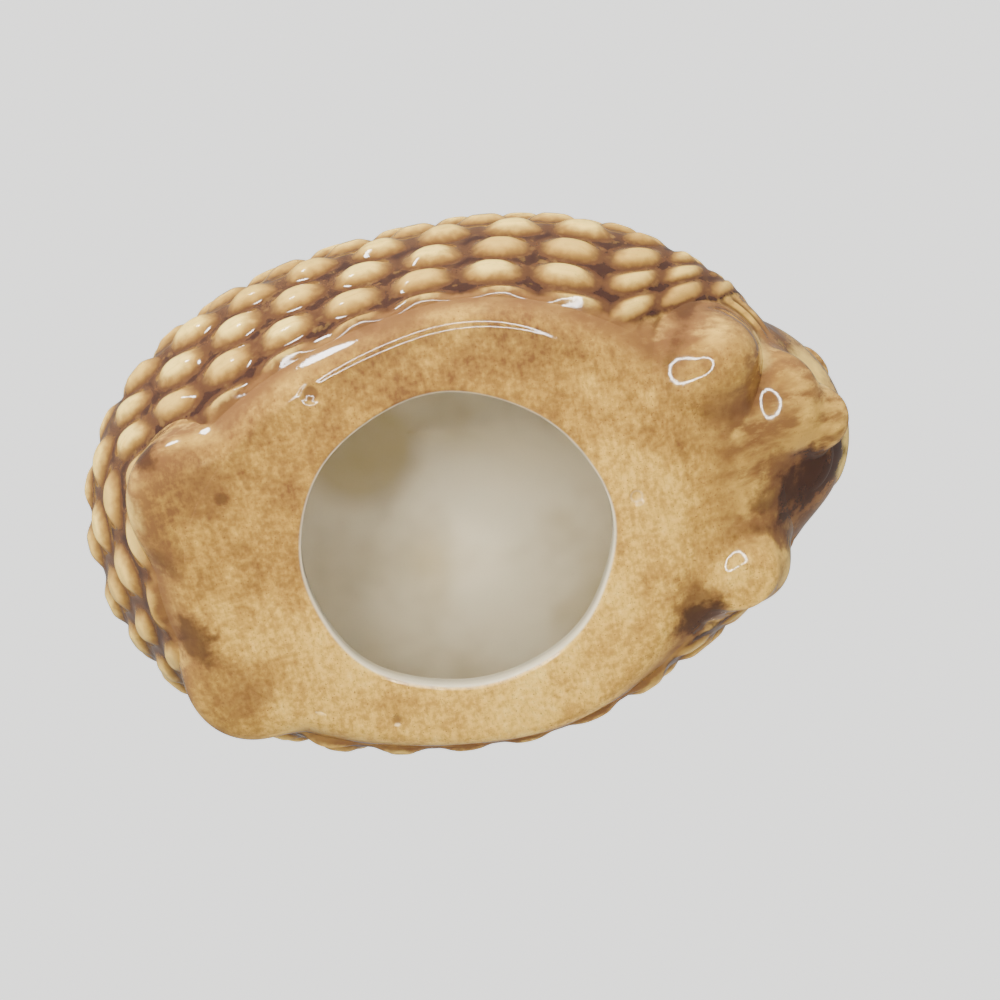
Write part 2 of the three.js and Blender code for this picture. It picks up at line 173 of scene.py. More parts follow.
# Rounded knolls on the underside: which way they all swell, and for each one where it is, how wide,
# how deep, and how softly it runs out.
KNOLL_WAY = (-0.21, -0.32, -0.92)
KNOLLS = {
    "head": (((55.5, -9.0, 11.2), 10.0, 6.0, 4.0), ((64.2, -4.0, 11.4), 6.0, 4.0, 3.0)),
    "left_foot": (((43.7, 18.0, 3.9), 7.5, 3.6, 3.0),),
}

# Fineness.
COLUMNS = 720
COAT_RINGS = 220
COAT_INNER_RINGS = 12
SHELL_COLUMNS = 144
SHELL_RINGS = 44
BASE_RINGS = 70
CURVE_STEPS = 400
SHARE_STEPS = 1200
SHARE_RANGE = (-0.25, 1.25)  # from below the lowest row to above the last scale
VOXEL = 0.5
FAR_AWAY = 3.0  # the distance outside the box that a form is sculpted in
LEAN_ROUNDS = 2  # how often a point's azimuth is put right for the body's backward lean
SLOPE_STEP = 0.02  # for measuring the slope of a distance
SETTLE_ROUNDS = 3  # how often sculpted points are drawn to the true surface
SETTLE_SHARE = 0.9
LEAST_SLOPE = 0.05
HEAD_ROOM = 42.0  # half the width of that box
BEAK_ROOM = 12.0
EYE_ROOM = 5.0
LUMP_ROOM = 3.0  # the same, past a lump's own size and fillet
TINY = 1e-6

# The photograph's camera: where it stands, and its right, down and forward directions.
CAMERA_AT = (VENT_X + 6.26, -87.72, -222.68)
CAMERA_RIGHT = (0.97346, 0.21105, -0.08852)
CAMERA_DOWN = (-0.22858, 0.91576, -0.33037)
CAMERA_FORWARD = (0.01134, 0.34183, 0.93969)
CAMERA_ANGLE = math.radians(40)
SENSOR_WIDTH = 36.0
CLIP_START = 10.0


def outline_radius(plan, azimuth, offset):
    """Distance from the vent's centre to a plan outline, grown by an offset."""
    forward = np.cos(azimuth)
    sideways = np.sin(azimuth)
    length = np.where(forward > 0, plan["front"], plan["rear"]) + offset
    width = plan["half_width"] * (1 + plan["taper"] * forward) + offset
    power = np.where(forward > 0, plan["front_power"], plan["rear_power"])
    total = (np.abs(forward) / length) ** power + (np.abs(sideways) / width) ** power
    return total ** (-1 / power)


def body_section(azimuth):
    """Height of the widest point, and the roundness under and over it."""
    breast = np.maximum(np.cos(azimuth), 0) ** BREAST_FOCUS
    girth = GIRTH_HEIGHT + (BREAST_HEIGHT - GIRTH_HEIGHT) * breast
    lower = LOWER_POWER + (THROAT_POWER - LOWER_POWER) * breast
    upper = UPPER_POWER + (NECK_POWER - UPPER_POWER) * breast
    return girth, lower, upper


def body_profile(azimuth, lift, offset):
    """Height, reach and backward lean of the body's surface, grown by an offset."""
    azimuth, lift, offset = np.broadcast_arrays(azimuth, lift, offset)
    girth, lower, upper = body_section(azimuth)
    widest = outline_radius(BODY_PLAN, azimuth, offset)
    base = outline_radius(BASE_PLAN, azimuth, offset)
    power = 2 / np.where(lift < 0, lower, upper)
    out = np.maximum(np.cos(lift), 0) ** power
    climb = np.abs(np.sin(lift)) ** power
    radius = np.where(lift < 0, base + (widest - base) * out, widest * out)
    z = np.where(lift < 0, girth * (1 - climb), girth + (BODY_HEIGHT + offset - girth) * climb)
    back = np.where(lift < 0, 0, CREST_BACK * climb**2)
    return z, radius, back


def turned_point(azimuth, z, radius, back):
    return np.stack([VENT_X - back + radius * np.cos(azimuth), radius * np.sin(azimuth), z], axis=-1)


def body_point(azimuth, lift, offset):
    """Points of the body's surface, grown by an offset."""
    return turned_point(azimuth, *body_profile(azimuth, lift, offset))


def lift_at_height(azimuth, z):
    girth, lower, upper = body_section(azimuth)
    below = -np.arcsin(np.clip(1 - z / girth, 0, 1) ** (lower / 2))
    above = np.arcsin(np.clip((z - girth) / (BODY_HEIGHT - girth), 0, 1) ** (upper / 2))
    return np.where(z < girth, below, above)


def roll_radius(azimuth, part):
    """Distance from the vent's centre to the foot's rolled edge: its flat underside at 0, its top at 1."""
    edge = outline_radius(BASE_PLAN, azimuth, 0.0)
    top = body_point(azimuth, lift_at_height(azimuth, np.full(np.shape(azimuth), BASE_THICKNESS)), 0.0)
    top = np.hypot(top[..., 0] - VENT_X, top[..., 1])
    return (edge - ROLL_IN) * (1 - part) ** 2 + edge * 2 * part * (1 - part) + top * part**2


def body_distance(points):
    """Roughly how far points lie outside the body and the foot."""
    x, y, z = points[..., 0], points[..., 1], np.clip(points[..., 2], 0, BODY_HEIGHT - 1)
    azimuth = np.arctan2(y, x - VENT_X)
    for _ in range(LEAN_ROUNDS):
        girth = body_section(azimuth)[0]
        climb = np.clip((z - girth) / (BODY_HEIGHT - girth), 0, 1)
        azimuth = np.arctan2(y, x - VENT_X + CREST_BACK * climb**2)
    lift = lift_at_height(azimuth, z)
    surface = body_point(azimuth, lift, 0.0)
    centre = VENT_X - CREST_BACK * climb**2
    reach = np.hypot(surface[..., 0] - centre, surface[..., 1])
    rolled = roll_radius(azimuth, np.sqrt(np.clip(z / BASE_THICKNESS, 0, 1)))
    reach = np.where(z < BASE_THICKNESS, rolled, reach)
    return SLOPE_SHARE * (np.hypot(x - centre, y) - reach)


FLANK_LIFTS = np.linspace(-math.pi / 2, math.pi / 2, CURVE_STEPS + 1)
FLANK_POINTS = body_point(math.pi / 2, FLANK_LIFTS, 0.0)
FLANK_LENGTHS = np.concatenate([[0], np.cumsum(np.linalg.norm(np.diff(FLANK_POINTS, axis=0), axis=1))])
FLANK_LENGTH = FLANK_LENGTHS[-1]


def lift_at_length(length):
    return np.interp(length, FLANK_LENGTHS, FLANK_LIFTS)


def length_at_height(azimuth, z):
    return np.interp(lift_at_height(azimuth, z), FLANK_LIFTS, FLANK_LENGTHS)


def fringe_length(azimuth):
    """Lower edge of the feathers: level at the flanks, lifted over the rear lobes and the face."""
    turned = np.abs(np.arctan2(np.sin(azimuth), np.cos(azimuth)))
    face = np.cos(np.minimum(turned / FACE_SPREAD, 1) * math.pi / 2) ** FACE_POWER
    lobe = np.exp(-(((turned - LOBE_TURN) / LOBE_REACH) ** 2))
    height = FRINGE_HEIGHT + (FACE_HEIGHT - FRINGE_HEIGHT) * face + LOBE_RISE * lobe
    return length_at_height(azimuth, height)


LEVEL_FRINGE = float(fringe_length(np.array(math.pi / 2)))
ROW_PITCH = (FLANK_LENGTH - CROWN_RADIUS - LEVEL_FRINGE) / ROW_COUNT


def feather_length(azimuth, share):
    """Length up the flank of a line between the fringe, at 0, and the last scale on top, at 1."""
    level = LEVEL_FRINGE + (FLANK_LENGTH - CROWN_RADIUS - LEVEL_FRINGE) * share
    bend = np.maximum(1 - share / FACE_REACH, 0) ** FACE_FADE
    return level + (fringe_length(azimuth) - LEVEL_FRINGE) * bend


def row_length(azimuth, share):
    """Length up the flank of a line between two rows, also under the fringe."""
    return feather_length(azimuth, np.maximum(share, 0)) + np.minimum(share, 0) * ROW_COUNT * SKIRT_PITCH


def turn_rows(azimuths):
    """For each row: the part of its scales passed at each azimuth, and how many scales it has."""
    turn = math.pi * (2 * np.arange(CURVE_STEPS + 1) / CURVE_STEPS + 1)
    passed = []
    counts = []
    for row in range(FIRST_ROW, ROW_COUNT):
        middle = row_length(turn, (row + 0.5) / ROW_COUNT)
        points = body_point(turn, lift_at_length(middle), 0.0)
        lengths = np.concatenate([[0], np.cumsum(np.linalg.norm(np.diff(points, axis=0), axis=1))])
        count = max(round(lengths[-1] / SCALE_LENGTH), 3)
        along = np.interp((azimuths - math.pi) % (2 * math.pi), turn - math.pi, lengths)
        passed.append(along / lengths[-1] * count - (row % 2) / 2)
        counts.append(count)
    return np.array(passed), counts


def scale_relief(azimuths, lengths):
    """Relief of the feathers over a grid of azimuths (columns) and lengths up the flank (rings).

    Gives how far a point lies inside its scale, how deep in a groove, the tone of its scale, where it lies
    on the scale, and its row.
    """
    rng = np.random.default_rng(SEED)
    shares = np.linspace(*SHARE_RANGE, SHARE_STEPS)
    place = np.empty_like(lengths)
    for column, azimuth in enumerate(azimuths):
        place[:, column] = np.interp(lengths[:, column], row_length(azimuth, shares), shares) * ROW_COUNT
    passed, counts = turn_rows(azimuths)
    nearest = np.full(lengths.shape, np.inf)
    second = np.full(lengths.shape, np.inf)
    tone = np.zeros(lengths.shape)
    spot = np.zeros(lengths.shape + (3,))
    for row, (count, turns) in enumerate(zip(counts, passed), FIRST_ROW):
        shift_along = rng.uniform(-1, 1, count) * SCALE_SHIFT[0]
        shift_across = rng.uniform(-1, 1, count) * SCALE_SHIFT[1]
        stretch = rng.uniform(*SCALE_STRETCH, count)
        tones = rng.uniform(0, 1, count)
        across = (place - row - 0.5) * 2
        for step in (-1, 0, 1):
            scale = np.floor(turns).astype(int) + step
            index = scale % count
            along = (turns - scale - 0.5) * 2 - shift_along[index]
            rise = (across - shift_across[index]) / stretch[index]
            leaf = np.abs(along) ** SCALE_POINT + np.abs(rise) ** SCALE_POINT
            distance = leaf ** (1 / SCALE_POINT) / SCALE_REACH
            closer = distance < nearest
            second = np.where(closer, nearest, np.minimum(second, distance))
            nearest = np.where(closer, distance, nearest)
            tone = np.where(closer, tones[index], tone)
            spot[..., 0] = np.where(closer, along * SCALE_LENGTH / 2, spot[..., 0])
            spot[..., 1] = np.where(closer, rise * SCALE_LENGTH / 3, spot[..., 1])
            spot[..., 2] = np.where(closer, (row * SPOT_ROW + index) * SPOT_STEP, spot[..., 2])
    free = 1 - nearest
    shared = (second - nearest) / 2
    edge = smooth_union(shared, free, SCALE_BLEND) - GROOVE_HALF
    last = (place - ROW_COUNT - CROWN_EDGE) / CROWN_SHOULDER
    edge = np.where(last > 0, np.clip(last, 0, 1), edge)
    inward = np.clip(edge / SCALE_SHOULDER, 0, 1)
    pool = np.clip(-edge / GROOVE_REACH, 0, 1)
    return inward, pool, tone, spot, place


def ellipsoid_distance(points, centre, axes, size):
    local = (points - np.asarray(centre)) @ axes
    size = np.asarray(size)
    near = np.linalg.norm(local / size, axis=-1)
    slope = np.linalg.norm(local / size**2, axis=-1)
    return near * (near - 1) / np.maximum(slope, TINY)


def smooth_union(a, b, reach):
    mixed = np.clip(0.5 + 0.5 * (b - a) / reach, 0, 1)
    return b * (1 - mixed) + a * mixed - reach * mixed * (1 - mixed)


def turn_z(angle):
    return np.array(Matrix.Rotation(angle, 3, "Z"))


HEAD_AXES = turn_z(HEAD_TURN) @ np.array(Matrix.Rotation(HEAD_DROOP, 3, "Y"))
HEAD_CENTRE = np.array([VENT_X + BODY_PLAN["front"] - HEAD_SINK, 0.0, HEAD_HEIGHT])
KNOLL_AXES = np.array(Vector(KNOLL_WAY).to_track_quat("Z", "Y").to_matrix())


def in_head(place):
    return HEAD_CENTRE + HEAD_AXES @ np.asarray(place)


def head_distance(points):
    return ellipsoid_distance(points, HEAD_CENTRE, HEAD_AXES, HEAD_SIZE)


def lump(forward, sideways, turn, size, clearance):
    """The distance to a lump against the base's edge, and its centre."""
    centre = np.array([VENT_X + forward, sideways, size[2] + clearance])
    axes = turn_z(turn)
    return lambda points: ellipsoid_distance(points, centre, axes, size), centre


def foot(side):
    sideways = side * BASE_PLAN["half_width"] * FOOT_SPREAD
    return lump(BASE_PLAN["front"] + FOOT_OVERHANG, sideways, side * FOOT_TURN, FOOT_SIZE, FOOT_CLEARANCE)


def rear_lobe(side):
    """A lobe whose underside is as flat as the foot's."""
    sideways = side * BASE_PLAN["half_width"] * LOBE_SPREAD
    whole, centre = lump(LOBE_INSET - BASE_PLAN["rear"], sideways, side * LOBE_TURN, LOBE_SIZE, -LOBE_SUNK)
    return lambda points: -smooth_union(-whole(points), points[..., 2] - FLANGE_BOTTOM, LOBE_ROUND), centre


LEFT = 1
RIGHT = -1
LUMPS = {
    "left_foot": foot(LEFT),
    "right_foot": foot(RIGHT),
    "left_rear_lobe": rear_lobe(LEFT),
    "right_rear_lobe": rear_lobe(RIGHT),
}


def crease_depth(points):
    """How deep points lie in a corner between feet, head and body: 0 on open surface, 1 in the corner."""
    forms = [LUMPS[name][0](points) for name in ("left_foot", "right_foot")]
    forms += [head_distance(points), body_distance(points)]
    depths = np.sort(np.abs(np.stack(forms)), axis=0)
    return np.exp(-((depths[1] / CREASE_REACH) ** 2))


def brown_band(points):
    """The brown strip round the foot's edge: 1 in its middle, 0 away from it and on lumps and head."""
    lumps = np.min(np.stack([form(points) for form, _ in LUMPS.values()]), axis=0)
    nearest = np.minimum(lumps, head_distance(points) - BAND_FADE)
    clear = np.clip((nearest - BAND_CLEAR) / BAND_FADE, 0, 1)
    outside = np.clip(1 - np.abs(body_distance(points)) / BAND_DEPTH, 0, 1)
    return clear * outside * np.exp(-(((points[..., 2] - BASE_THICKNESS) / BAND_WIDTH) ** 2))


def strands(points):
    """Folds of the breast feathers, which run round the feet: -1 in a fold, 1 on a strand, 0 elsewhere."""
    away = np.minimum(LUMPS["left_foot"][0](points), LUMPS["right_foot"][0](points))
    begun = np.clip((away - STRAND_START) / STRAND_WIDTH, 0, 1)
    left = np.clip((STRAND_END - away) / STRAND_WIDTH, 0, 1)
    raised = np.clip((points[..., 2] - BASE_THICKNESS) / BASE_THICKNESS, 0, 1)
    foot_middle = BASE_PLAN["half_width"] * FOOT_SPREAD
    outside = np.clip((np.abs(points[..., 1]) - foot_middle) / STRAND_WIDTH, 0, 1)
    return begun * left * raised * outside * np.cos(2 * math.pi * away / STRAND_WIDTH)


def add_piece(name, points, faces, attributes=None):
    """A mesh piece from points in millimetres, smooth shaded, with its vertex attributes."""
    mesh = bpy.data.meshes.new(name)
    mesh.from_pydata((np.asarray(points) * MM).tolist(), [], faces)
    mesh.update()
    mesh.shade_smooth()
    for key, values in (attributes or {}).items():
        values = np.asarray(values, np.float32)
        kind = "FLOAT" if values.ndim == 1 else "FLOAT_VECTOR"
        layer = mesh.attributes.new(key, kind, "POINT")
        layer.data.foreach_set("value" if values.ndim == 1 else "vector", values.ravel())
    piece = bpy.data.objects.new(name, mesh)
    bpy.context.scene.collection.objects.link(piece)
    return piece


def tube_faces(rings, columns, closed):
    """Quads between rings of points, round each ring, and from the last ring to the first when closed."""
    ring = np.arange(rings if closed else rings - 1)[:, None]
    column = np.arange(columns)
    after = (ring + 1) % rings * columns
    beside = (column + 1) % columns
    here = ring * columns
    corners = np.broadcast_arrays(here + column, here + beside, after + beside, after + column)
    return np.stack(corners, axis=-1).reshape(-1, 4).tolist()


def fan_faces(start, columns, tip):
    """Triangles from the ring of points that begins at start to a tip."""
    return [[start + column, start + (column + 1) % columns, tip] for column in range(columns)]


def turned_over(faces):
    return [face[::-1] for face in faces]


def surface_normals(grid):
    """Outward unit normals over a grid of rings and columns."""
    up = np.gradient(grid, axis=0)
    round_ = (np.roll(grid, -1, axis=1) - np.roll(grid, 1, axis=1)) / 2
    normal = np.cross(round_, up)
    return normal / np.maximum(np.linalg.norm(normal, axis=-1, keepdims=True), TINY)


def row_width(grid, place):
    """Width of the feather rows over a grid of rings and columns, as a share of that at the flanks."""
    sideways = np.linalg.norm(np.roll(grid, -1, axis=1) - np.roll(grid, 1, axis=1), axis=-1)
    upward = np.linalg.norm(np.gradient(grid, axis=0), axis=-1)
    turn = (np.roll(place, -1, axis=1) - np.roll(place, 1, axis=1)) / np.maximum(sideways, TINY)
    climb = np.gradient(place, axis=0) / np.maximum(upward, TINY)
    return 1 / np.maximum(np.hypot(turn, climb) * ROW_PITCH, 1)


def even_turn(columns):
    return 2 * math.pi * np.arange(columns) / columns


def evened(values, parts):
    """Evens out values round each ring of the coat, more so towards the crest."""
    spread = CREST_EVEN * np.clip((parts - CREST_START) / (1 - CREST_START), 0, 1)
    waves = np.arange(COLUMNS // 2 + 1)
    kept = np.exp(-((waves * spread) ** 2) / 2)
    return np.fft.irfft(np.fft.rfft(values, axis=1) * kept, COLUMNS, axis=1)


def make_coat():
    """The outer skin with its feather relief, closed by a plain skin just under the body's surface."""
    azimuths = even_turn(COLUMNS)
    bottom = length_at_height(azimuths, np.full(COLUMNS, BASE_THICKNESS))
    parts = np.arange(COAT_RINGS)[:, None] / COAT_RINGS
    lengths = bottom + (FLANK_LENGTH - bottom) * parts
    profile = body_profile(azimuths, lift_at_length(lengths), 0.0)
    fuller = [np.maximum(values, evened(values, parts)) for values in profile]
    smooth = turned_point(azimuths, *fuller)
    inward, pool, tone, spot, place = scale_relief(azimuths, lengths)
    begun = np.clip((lengths - bottom) / SKIRT_FADE, 0, 1)
    feathered = np.clip((place - FIRST_ROW) / ROW_FADE + 1, 0, 1) * begun
    lowered = np.clip(1 + SKIRT_LOW * place, 1 - SKIRT_LOW, 1)
    rise = inward**2 * (3 - 2 * inward) * feathered * lowered * row_width(smooth, place)
    folds = strands(smooth) * (1 - feathered)
    height = SCALE_SEAT * feathered + SCALE_RISE * rise + STRAND_RISE * folds
    outer = smooth + surface_normals(smooth) * height[..., None]
    outer[0] = smooth[0]
    inner_parts = np.linspace(0, COAT_END, COAT_INNER_RINGS)[:, None]
    inner_lengths = bottom + (FLANK_LENGTH - bottom) * inner_parts
    inner = body_point(azimuths, lift_at_length(inner_lengths), -COAT_DEPTH)
    inner[0, :, 2] = BASE_THICKNESS
    crest = body_point(0.0, math.pi / 2, SCALE_SEAT + SCALE_RISE)
    under = body_point(0.0, math.pi / 2, -COAT_DEPTH)
    points = np.concatenate([inner[::-1].reshape(-1, 3), outer.reshape(-1, 3), [crest, under]])
    rings = COAT_INNER_RINGS + COAT_RINGS
    faces = tube_faces(rings, COLUMNS, False)
    faces += fan_faces((rings - 1) * COLUMNS, COLUMNS, rings * COLUMNS)
    faces += turned_over(fan_faces(0, COLUMNS, rings * COLUMNS + 1))

    def spread(outside, inside):
        blank = np.full((inner.shape[0] * COLUMNS,) + np.shape(inside), inside)
        flat = outside.reshape((-1,) + np.shape(inside))
        ends = np.stack([flat[-1], np.asarray(inside)])
        return np.concatenate([blank, flat, ends])

    # how deep in a corner: the bare parts darken there with glaze pools and painted shade
    creases = crease_depth(outer) * (1 - feathered)
    attributes = {
        "crown": spread(inward, 0.0),
        "pool": spread(pool, 0.0),
        "tone": spread(tone, 0.5),
        "skirt": spread(np.clip(-place, 0, 1), 1.0),
        "feathered": spread(feathered, 0.0),
        "crease_pool_and_shade": spread(creases, 0.0),
        "strand": spread(folds, 0.0),
        "band": spread(brown_band(smooth), 0.0),
        "side": spread(np.ones(outer.shape[:2]), 1.0),
        "spot": spread(spot, np.zeros(3)),
    }
    return add_piece("feather_coat", points, faces, attributes)


def make_shell():
    """The hollow body under the feathers: a plain outer face and the bare inner wall."""
    azimuths = even_turn(SHELL_COLUMNS)
    bottom = lift_at_height(azimuths, np.full(SHELL_COLUMNS, BASE_THICKNESS))
    parts = np.linspace(0, SHELL_END, SHELL_RINGS)[:, None]
    lifts = bottom + (math.pi / 2 - bottom) * parts
    outer = body_point(azimuths, lifts, -SHELL_DEPTH)
    wave = WALL_WAVE * np.sin(5 * azimuths + 6 * parts) * np.sin(4 * math.pi * parts)
    inner = body_point(azimuths, lifts, -WALL + wave)
    outer[0, :, 2] = BASE_THICKNESS
    inner[0, :, 2] = BASE_THICKNESS
    points = np.concatenate([outer.reshape(-1, 3), inner[::-1].reshape(-1, 3)])
    ends = [outer[-1].mean(axis=0), inner[-1].mean(axis=0)]
    points = np.concatenate([points, ends])
    count = 2 * SHELL_RINGS
    top = (SHELL_RINGS - 1) * SHELL_COLUMNS
    inner_top = SHELL_RINGS * SHELL_COLUMNS
    faces = tube_faces(count, SHELL_COLUMNS, True)
    del faces[top:inner_top]
    faces += fan_faces(top, SHELL_COLUMNS, count * SHELL_COLUMNS)
    faces += turned_over(fan_faces(inner_top, SHELL_COLUMNS, count * SHELL_COLUMNS + 1))
    return add_piece("body_shell", points, faces)


# Marks on the underside from firing: where in x and y, how wide, how deep, and how dark they are.
# A darkness under 0 gives a pale rim.
STILT_MARKS = (
    (-21.6, -32.6, 1.7, 0.45, 0.85),
    (-35.4, 25.9, 1.3, 0.35, -0.8),
    (-22.1, 30.1, 1.4, 0.35, 0.6),
    (28.4, -1.5, 1.6, 0.4, -0.6),
)
ROLL_STEPS = 22
LIP_REACH = 0.45  # how far the pale worn edge of the vent reaches
SIDE_REACH = 1.0  # how far in from its edge the foot has the tone of its side


def make_base():
    """The flat foot: hand-cut vent with a rounded lip, flat underside, rolled outer edge, flat top."""
    azimuths = even_turn(COLUMNS)
    waves = sum(size * np.sin(lobes * azimuths + phase) for lobes, size, phase in VENT_WAVES)
    vent = VENT_RADIUS + waves
    rings = []

    def vent_ring(out, z):
        rings.append(turned_point(azimuths, np.full(COLUMNS, z), vent + out, 0.0))

    for turn in np.linspace(0, math.pi / 2, VENT_STEPS):
        vent_ring(VENT_LIP * (1 - math.cos(turn)), VENT_LIP * (1 - math.sin(turn)))
    edge = outline_radius(BASE_PLAN, azimuths, 0.0)
    flat = roll_radius(azimuths, 0.0) - vent - VENT_LIP
    for part in np.linspace(0, 1, BASE_RINGS)[1:-1]:
        vent_ring(VENT_LIP + flat * part, 0.0)
    for part in np.linspace(0, 1, ROLL_STEPS):
        vent_ring(roll_radius(azimuths, part) - vent, BASE_THICKNESS * part**2)
    vent_ring(VENT_LIP, BASE_THICKNESS)
    vent_ring(0.0, BASE_THICKNESS - VENT_LIP)
    points = np.concatenate(rings)
    under = points[:, 2] < BASE_THICKNESS / 2
    mark = np.zeros(len(points))
    for mark_x, mark_y, wide, deep, dark in STILT_MARKS:
        near = np.hypot(points[:, 0] - mark_x, points[:, 1] - mark_y) / wide
        dent = np.exp(-(near**4) * 2) * under
        points[:, 2] += deep * dent
        rim = dent - np.exp(-((near * 2) ** 4)) * under
        mark += dark * (dent if dark > 0 else rim)
    reach = np.hypot(points[:, 0] - VENT_X, points[:, 1])
    past_vent = np.maximum(reach - np.tile(vent, len(rings)), 0)
    near_edge = np.tile(edge, len(rings)) - reach < SIDE_REACH
    attributes = {
        "lip": np.exp(-past_vent / LIP_REACH),
        "side": np.clip(points[:, 2] / BASE_THICKNESS, 0, 1) * near_edge,
        "mark": mark,
        "crease_pool_and_shade": crease_depth(points),
        "band": brown_band(points),
    }
    return add_piece("base_plate", points, tube_faces(len(rings), COLUMNS, True), attributes)


def sculpt(name, distance, low, high):
    """A closed mesh on the zero surface of a distance, between two corners."""
    low = np.asarray(low, float)
    high = np.asarray(high, float)
    counts = np.ceil((high - low) / VOXEL).astype(int) + 1
    axes = [low[i] + VOXEL * np.arange(counts[i]) for i in range(3)]
    values = np.empty(counts, np.float32)
    for i, x in enumerate(axes[0]):
        y, z = np.meshgrid(axes[1], axes[2], indexing="ij")
        values[i] = distance(np.stack([np.full_like(y, x), y, z], axis=-1))
    grid = openvdb.FloatGrid(FAR_AWAY)
    grid.copyFromArray(values)
    points, quads = grid.convertToQuads(0.0)
    points = low + points.astype(float) * VOXEL
    steps = SLOPE_STEP * np.eye(3)
    for _ in range(SETTLE_ROUNDS):
        ways = [distance(points + step) - distance(points - step) for step in steps]
        slope = np.stack(ways, axis=-1) / (2 * SLOPE_STEP)
        size = np.maximum((slope**2).sum(axis=1), LEAST_SLOPE)
        move = np.clip(distance(points) / size, -VOXEL, VOXEL)
        points = points - slope * move[:, None] * SETTLE_SHARE
    attributes = {
        "side": np.clip(points[:, 2] / BASE_THICKNESS, 0, 1),
        "crease_pool_and_shade": crease_depth(points),
        "strand": strands(points),
        "band": brown_band(points),
    }
    return add_piece(name, points, quads.tolist(), attributes)


def with_flange(name, own, fillet):
    """A form and its knolls that run softly into the body, cut off inside it and away from the form."""

    def distance(points):
        body = body_distance(points)
        mine = own(points)
        for place, wide, deep, blend in KNOLLS.get(name, ()):
            knoll = ellipsoid_distance(points, place, KNOLL_AXES, (wide, wide, deep))
            mine = smooth_union(mine, knoll, blend)
        joined = smooth_union(mine, body + FLANGE_DEPTH, fillet) - STRAND_RISE * strands(points)
        kept = np.maximum(joined, -(body + FLANGE_WALL))
        kept = np.maximum(kept, mine - fillet - FLANGE_SPARE)
        return np.maximum(kept, FLANGE_BOTTOM - points[..., 2])

    return distance


def eye_place(side):
    """Where an eye's middle meets the head's surface, and the way out there, both in the head's frame."""
    left = 1 - (EYE_FORWARD / HEAD_SIZE[0]) ** 2 - (EYE_UP / HEAD_SIZE[2]) ** 2
    place = np.array([EYE_FORWARD, side * HEAD_SIZE[1] * math.sqrt(left), EYE_UP])
    outward = place / np.array(HEAD_SIZE) ** 2
    return place, outward / np.linalg.norm(outward)


def head_form(points):
    form = head_distance(points)
    rim = math.sqrt(EYE_RADIUS**2 - EYE_SINK**2) + LID_TUBE / 2
    for side in (LEFT, RIGHT):
        place, outward = eye_place(side)
        outward = HEAD_AXES @ outward
        away = points - in_head(place)
        along = away @ outward
        across = np.linalg.norm(away - along[..., None] * outward, axis=-1)
        lid = np.hypot(across - rim, along) - LID_TUBE
        form = smooth_union(form, lid, LID_FILLET)
    return form


def make_head():
    low = HEAD_CENTRE - HEAD_ROOM
    low[2] = 0.0
    return sculpt("head", with_flange("head", head_form, HEAD_FILLET), low, HEAD_CENTRE + HEAD_ROOM)


def make_lump(name, fillet):
    distance, centre = LUMPS[name]
    reach = max(FOOT_SIZE + LOBE_SIZE) + fillet + LUMP_ROOM
    low = centre - reach
    low[2] = 0.0
    return sculpt(name, with_flange(name, distance, fillet), low, centre + reach)


def make_beak(name, place, size, rise):
    """One half of the beak: what an ellipsoid takes out of the head's skin, grown by its rise."""

    def own(points):
        bite = ellipsoid_distance(points, in_head(place), HEAD_AXES, size)
        skin = head_distance(points) - rise
        return -smooth_union(-bite, -skin, BEAK_ROUND)

    return sculpt(name, own, in_head(place) - BEAK_ROOM, in_head(place) + BEAK_ROOM)


def make_eye(name, side):
    place, outward = eye_place(side)
    centre = in_head(place - EYE_SINK * outward)

    def own(points):
        return ellipsoid_distance(points, centre, HEAD_AXES, (EYE_RADIUS,) * 3)

    return sculpt(name, own, centre - EYE_ROOM, centre + EYE_ROOM)


def add_node(tree, kind, settings=None, inputs=None):
    """A shader node with its settings and inputs, which are fixed or linked to another node's output."""
    node = tree.nodes.new(kind)
    for key, value in (settings or {}).items():
        setattr(node, key, value)
    for key, value in (inputs or {}).items():
        if isinstance(value, bpy.types.NodeSocket):
            tree.links.new(value, node.inputs[key])
        else:
            node.inputs[key].default_value = value
    return node


def noise(tree, where, scale, detail=3.0, roughness=0.5):
    inputs = {"Vector": where, "Scale": scale, "Detail": detail, "Roughness": roughness}
    return add_node(tree, "ShaderNodeTexNoise", None, inputs).outputs[0]


def between(tree, value, low, high, start=0.0, end=1.0):
    """A value mapped from low..high to start..end, clamped and eased."""
    inputs = {"Value": value, "From Min": low, "From Max": high, "To Min": start, "To Max": end}
    return add_node(tree, "ShaderNodeMapRange", {"interpolation_type": "SMOOTHSTEP"}, inputs).outputs[0]


def mix_colour(tree, share, first, second):
    inputs = {0: share, 6: first, 7: second}
    return add_node(tree, "ShaderNodeMix", {"data_type": "RGBA"}, inputs).outputs[2]


def tint(tree, colour, value, low, high, tone, amount=1.0):
    """Mixes a tone into a colour, up to an amount, as a value goes from low to high."""
    return mix_colour(tree, between(tree, value, low, high, 0.0, amount), colour, tone)


def combine(tree, operation, first, second):
    return add_node(tree, "ShaderNodeMath", {"operation": operation}, {0: first, 1: second}).outputs[0]


def attribute(tree, name, output="Fac"):
    return add_node(tree, "ShaderNodeAttribute", {"attribute_name": name}).outputs[output]


def rgb(red, green, blue):
    return (red, green, blue, 1.0)


